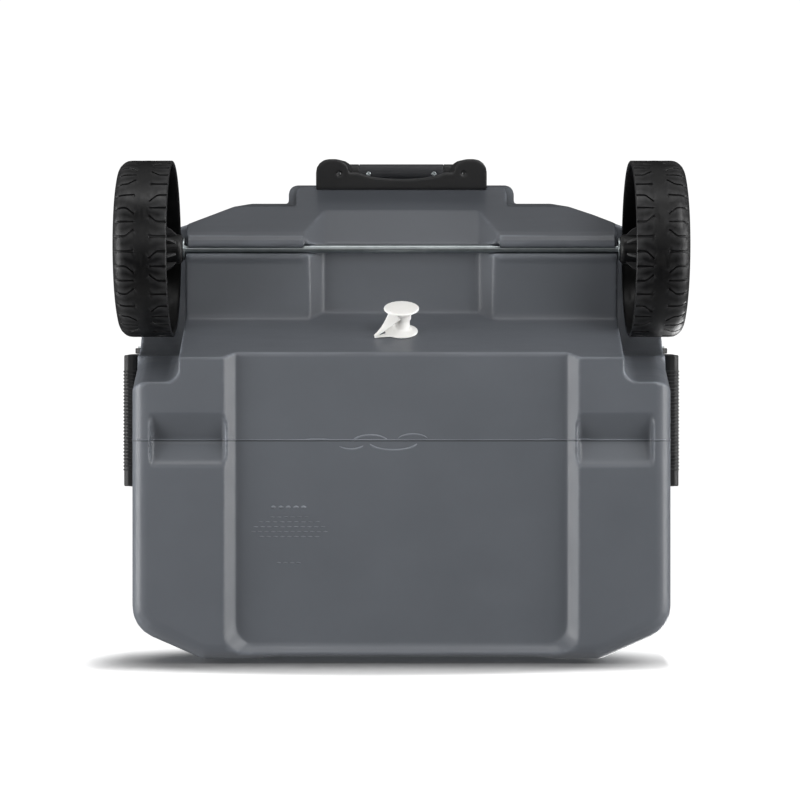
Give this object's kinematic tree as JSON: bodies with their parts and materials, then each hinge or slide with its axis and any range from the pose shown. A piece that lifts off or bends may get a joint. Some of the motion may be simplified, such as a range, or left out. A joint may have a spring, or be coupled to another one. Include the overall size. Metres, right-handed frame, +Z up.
{
  "type": "wheeled cool box",
  "caption": "Insulated chest on large ribbed wheels with a telescopic tow handle, swinging side handles, latched lid and drain plug.",
  "frame": {"origin": "on the ground under the middle of the whole object", "axes": "+Z up, -Y the latch side, +Y the wheel and tow handle side, +X along the axle"},
  "size_m": [0.745, 0.6726, 0.568],
  "materials": {
    "body_plastic": "satin",
    "lid_plastic": "satin",
    "liner_plastic": "satin",
    "foam": "matte",
    "white_plastic": "satin",
    "zinc_steel": "satin",
    "wheel_plastic": "satin",
    "black_plastic": "satin",
    "soft_rubber": "matte",
    "tube_aluminium": "satin"
  },
  "bodies": {
    "chassis": {"outer_shell": "body_plastic", "inner_liner": "liner_plastic", "foam_core": "foam", "drain_spout": "white_plastic", "drain_tether": "white_plastic", "axle": "zinc_steel", "push_nut_left": "zinc_steel", "push_nut_right": "zinc_steel", "wheel_spacer_left": "zinc_steel", "wheel_spacer_right": "zinc_steel", "handle_bracket_left_rear": "black_plastic", "handle_bracket_left_front": "black_plastic", "handle_bracket_right_rear": "black_plastic", "handle_bracket_right_front": "black_plastic", "handle_pin_left_rear": "zinc_steel", "handle_pin_left_front": "zinc_steel", "handle_pin_right_rear": "zinc_steel", "handle_pin_right_front": "zinc_steel", "tow_housing": "black_plastic", "hinge_body_left": "black_plastic", "hinge_body_right": "black_plastic", "hinge_pin_left": "zinc_steel", "hinge_pin_right": "zinc_steel", "latch_strike_left": "black_plastic", "latch_strike_right": "black_plastic"},
    "wheel_l": {"wheel_left": "wheel_plastic", "hub_cap_left": "black_plastic"},
    "wheel_r": {"wheel_right": "wheel_plastic", "hub_cap_right": "black_plastic"},
    "side_handle_l": {"side_handle_left": "black_plastic"},
    "side_handle_r": {"side_handle_right": "black_plastic"},
    "tow_stage": {"tow_tube_mid_left": "tube_aluminium", "tow_tube_mid_right": "tube_aluminium"},
    "tow_handle": {"tow_tube_inner_left": "tube_aluminium", "tow_tube_inner_right": "tube_aluminium", "tow_grip_core": "black_plastic", "tow_grip_sleeve": "soft_rubber", "tow_grip_screw_left": "zinc_steel", "tow_grip_screw_right": "zinc_steel"},
    "tow_release": {"tow_button": "black_plastic"},
    "lid": {"lid_shell": "lid_plastic", "lid_foam": "foam", "lid_pan": "liner_plastic", "lid_gasket": "soft_rubber", "hinge_lid_left": "black_plastic", "hinge_lid_right": "black_plastic", "latch_mount_left": "black_plastic", "latch_mount_right": "black_plastic", "latch_pin_left": "zinc_steel", "latch_pin_right": "zinc_steel"},
    "latch_l": {"latch_left": "black_plastic"},
    "latch_r": {"latch_right": "black_plastic"},
    "drain_stopper": {"drain_cap": "white_plastic"}
  },
  "joints": [
    {"name": "lid_hinge", "type": "hinge", "parent": "chassis", "child": "lid", "pos_m": [0, 0.28818, 0.556], "axis": [-1, 0, 0], "range_deg": [0, 93]},
    {"name": "wheel_spin_left", "type": "hinge", "parent": "chassis", "child": "wheel_l", "pos_m": [0.318, 0.19168, 0.111], "axis": [1, 0, 0], "continuous": true},
    {"name": "wheel_spin_right", "type": "hinge", "parent": "chassis", "child": "wheel_r", "pos_m": [-0.318, 0.19168, 0.111], "axis": [1, 0, 0], "continuous": true},
    {"name": "side_handle_swing_left", "type": "hinge", "parent": "chassis", "child": "side_handle_l", "pos_m": [0.357, -0.02642, 0.418], "axis": [0, -1, 0], "range_deg": [0, 120]},
    {"name": "side_handle_swing_right", "type": "hinge", "parent": "chassis", "child": "side_handle_r", "pos_m": [-0.357, -0.02642, 0.418], "axis": [0, 1, 0], "range_deg": [0, 120]},
    {"name": "tow_lower_slide", "type": "slide", "parent": "chassis", "child": "tow_stage", "axis": [0, 0.0853, 0.9964], "range_m": [0, 0.22]},
    {"name": "tow_upper_slide", "type": "slide", "parent": "tow_stage", "child": "tow_handle", "axis": [0, 0.0853, 0.9964], "range_m": [0, 0.22]},
    {"name": "tow_release_press", "type": "slide", "parent": "tow_handle", "child": "tow_release", "axis": [0, -0.0853, -0.9964], "range_m": [0, 0.003], "stiffness_N_per_m": 300, "springref_m": -0.001},
    {"name": "latch_swing_left", "type": "hinge", "parent": "lid", "child": "latch_l", "pos_m": [0.15, -0.32982, 0.526], "axis": [-1, 0, 0], "range_deg": [0, 110]},
    {"name": "latch_swing_right", "type": "hinge", "parent": "lid", "child": "latch_r", "pos_m": [-0.15, -0.32982, 0.526], "axis": [-1, 0, 0], "range_deg": [0, 110]},
    {"name": "drain_cap_pull", "type": "slide", "parent": "chassis", "child": "drain_stopper", "axis": [0, 0.9029, -0.4298], "range_m": [0, 0.04]}
  ]
}
